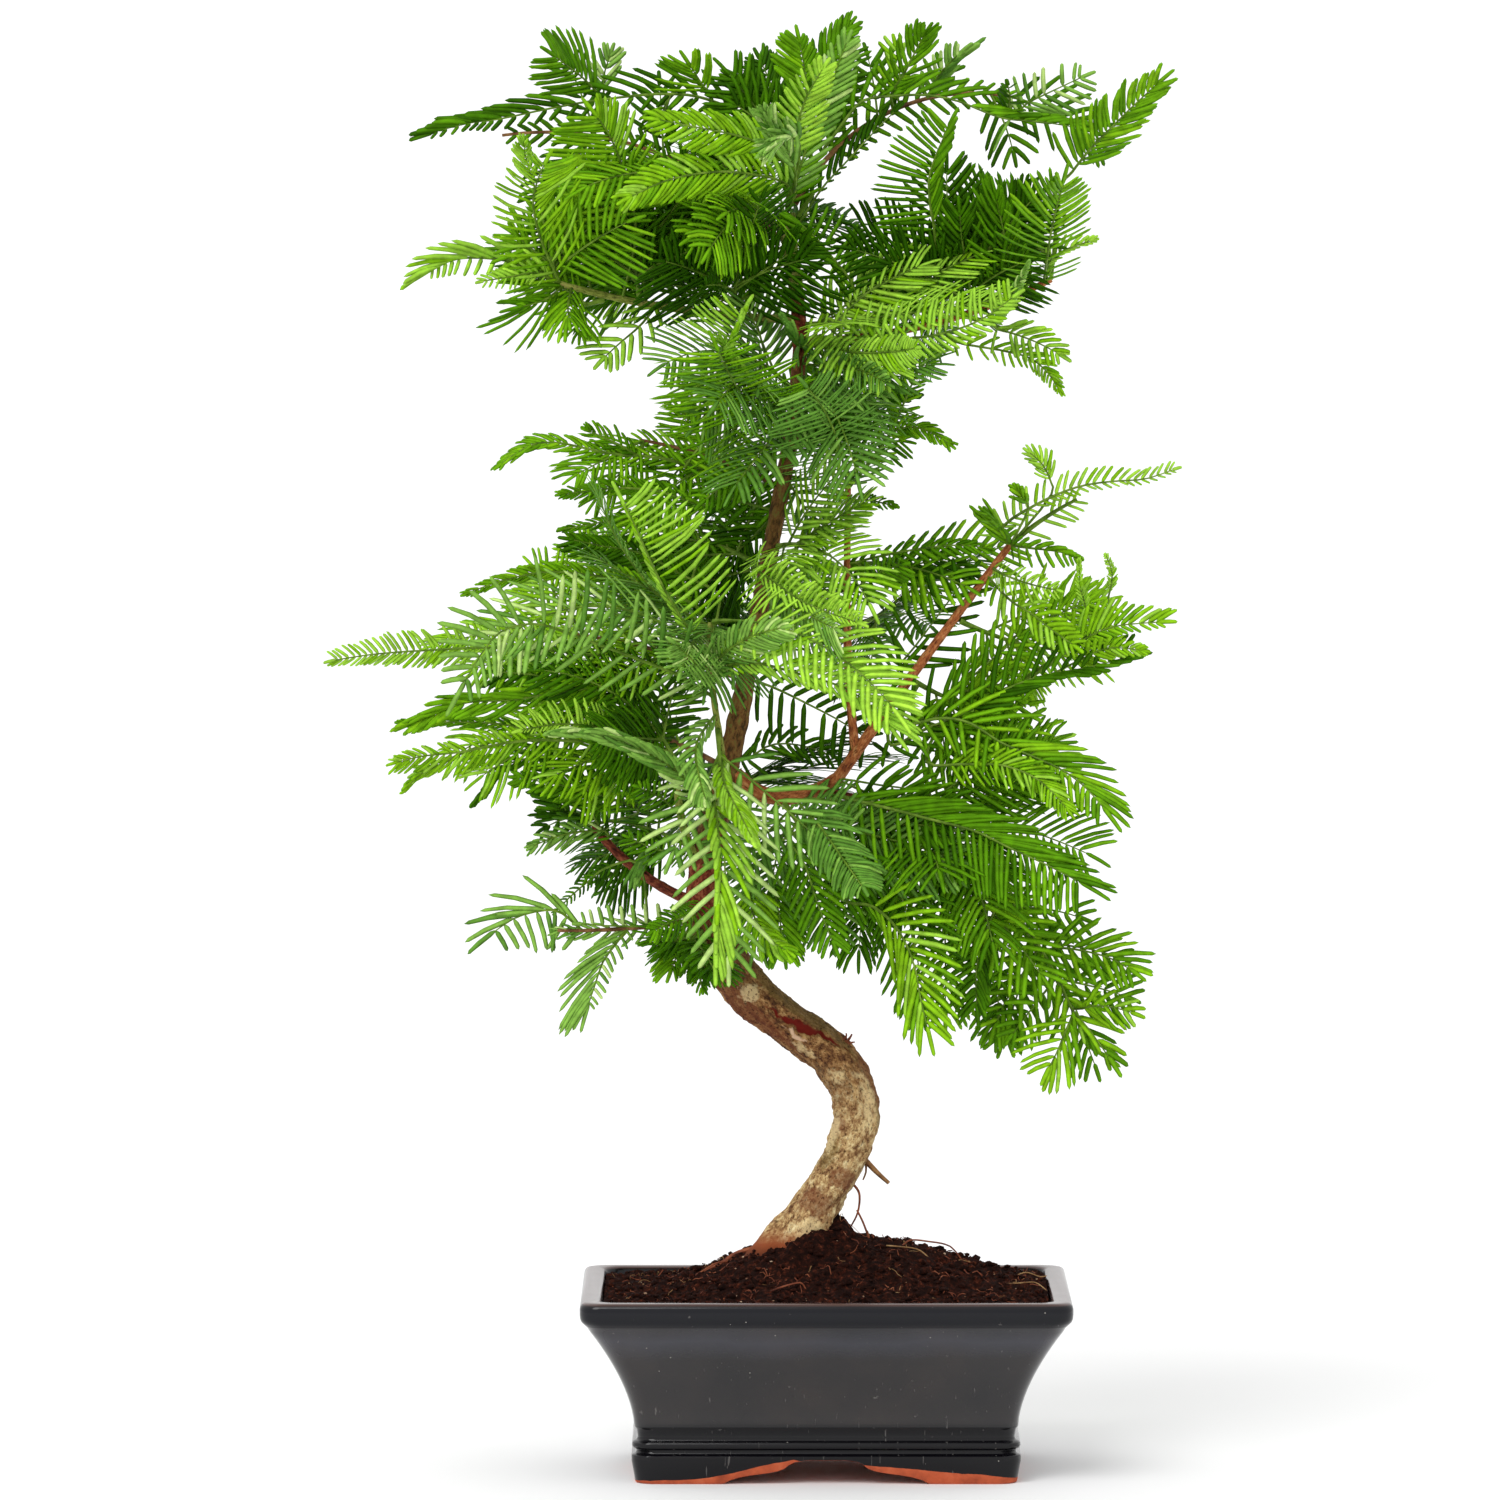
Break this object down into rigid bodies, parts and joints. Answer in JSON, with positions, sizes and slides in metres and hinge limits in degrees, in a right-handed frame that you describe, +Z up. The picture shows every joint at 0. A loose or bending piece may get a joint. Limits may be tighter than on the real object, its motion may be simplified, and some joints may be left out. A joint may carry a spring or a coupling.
{
  "type": "bonsai dawn redwood in a glazed pot",
  "caption": "Dawn redwood grown as a bonsai: S-curved trunk, slender boughs and sprays of flat needles, in soil in a flared rectangular glazed pot on feet.",
  "frame": {"origin": "middle of the whole plant's bounding box in plan, on the plane under the pot's feet", "axes": "+Z up; the pot's long side lies along X and the front of the plant faces -Y"},
  "size_m": [0.3172, 0.1962, 0.5359],
  "materials": {
    "pot_glaze": "glossy blue-black glaze, bare terracotta at the feet",
    "peat_soil": "matt, crumbly",
    "old_bark": "flaking tan bark",
    "young_bark": "thin red-brown bark",
    "needles": "soft satin green"
  },
  "bodies": {
    "root": {"pot": "pot_glaze", "soil": "peat_soil", "trunk": "old_bark", "bough_low_left": "young_bark", "bough_green_shoot": "young_bark", "bough_front": "young_bark", "bough_right_low": "young_bark", "bough_right": "young_bark", "bough_right_drop": "young_bark", "bough_second_stem": "young_bark", "bough_upper_left": "young_bark", "bough_upper_right": "young_bark", "foliage_leader": "needles", "foliage_arch_right": "needles", "foliage_arch_left": "needles", "foliage_apex_left": "needles", "foliage_apex_right": "needles", "foliage_front_arch_left": "needles", "foliage_front_arch_right": "needles", "foliage_front_droop": "needles", "foliage_left_long": "needles", "foliage_left_mid": "needles", "foliage_mid_left_high": "needles", "foliage_right_fan": "needles", "foliage_hanging_right": "needles", "foliage_right_mid": "needles", "foliage_right_outer": "needles", "foliage_bough_end": "needles", "foliage_crown_left_tip": "needles", "foliage_crown_left_mid": "needles", "foliage_crown_left_inner": "needles", "foliage_crown_left_low": "needles", "foliage_crown_left_under": "needles", "foliage_crown_right_tip": "needles", "foliage_crown_right_mid": "needles", "foliage_crown_right_low": "needles", "foliage_crown_back": "needles", "foliage_crown_back_left": "needles", "foliage_crown_back_right": "needles", "foliage_upper_bright": "needles", "foliage_upper_left": "needles", "foliage_upper_front": "needles", "foliage_mid_front_left": "needles", "foliage_mid_front": "needles", "foliage_mid_back": "needles", "foliage_mid_back_left": "needles", "foliage_back_high": "needles", "foliage_second_stem_top": "needles", "foliage_second_stem_right": "needles", "foliage_second_stem_back": "needles", "foliage_left_low": "needles", "foliage_left_lowest": "needles", "foliage_shoot_tuft": "needles", "foliage_low_centre": "needles", "foliage_low_back": "needles", "foliage_low_back_left": "needles", "foliage_low_front_right": "needles", "foliage_hanging_front": "needles", "foliage_hanging_inner": "needles", "foliage_right_inner": "needles"}
  },
  "joints": []
}
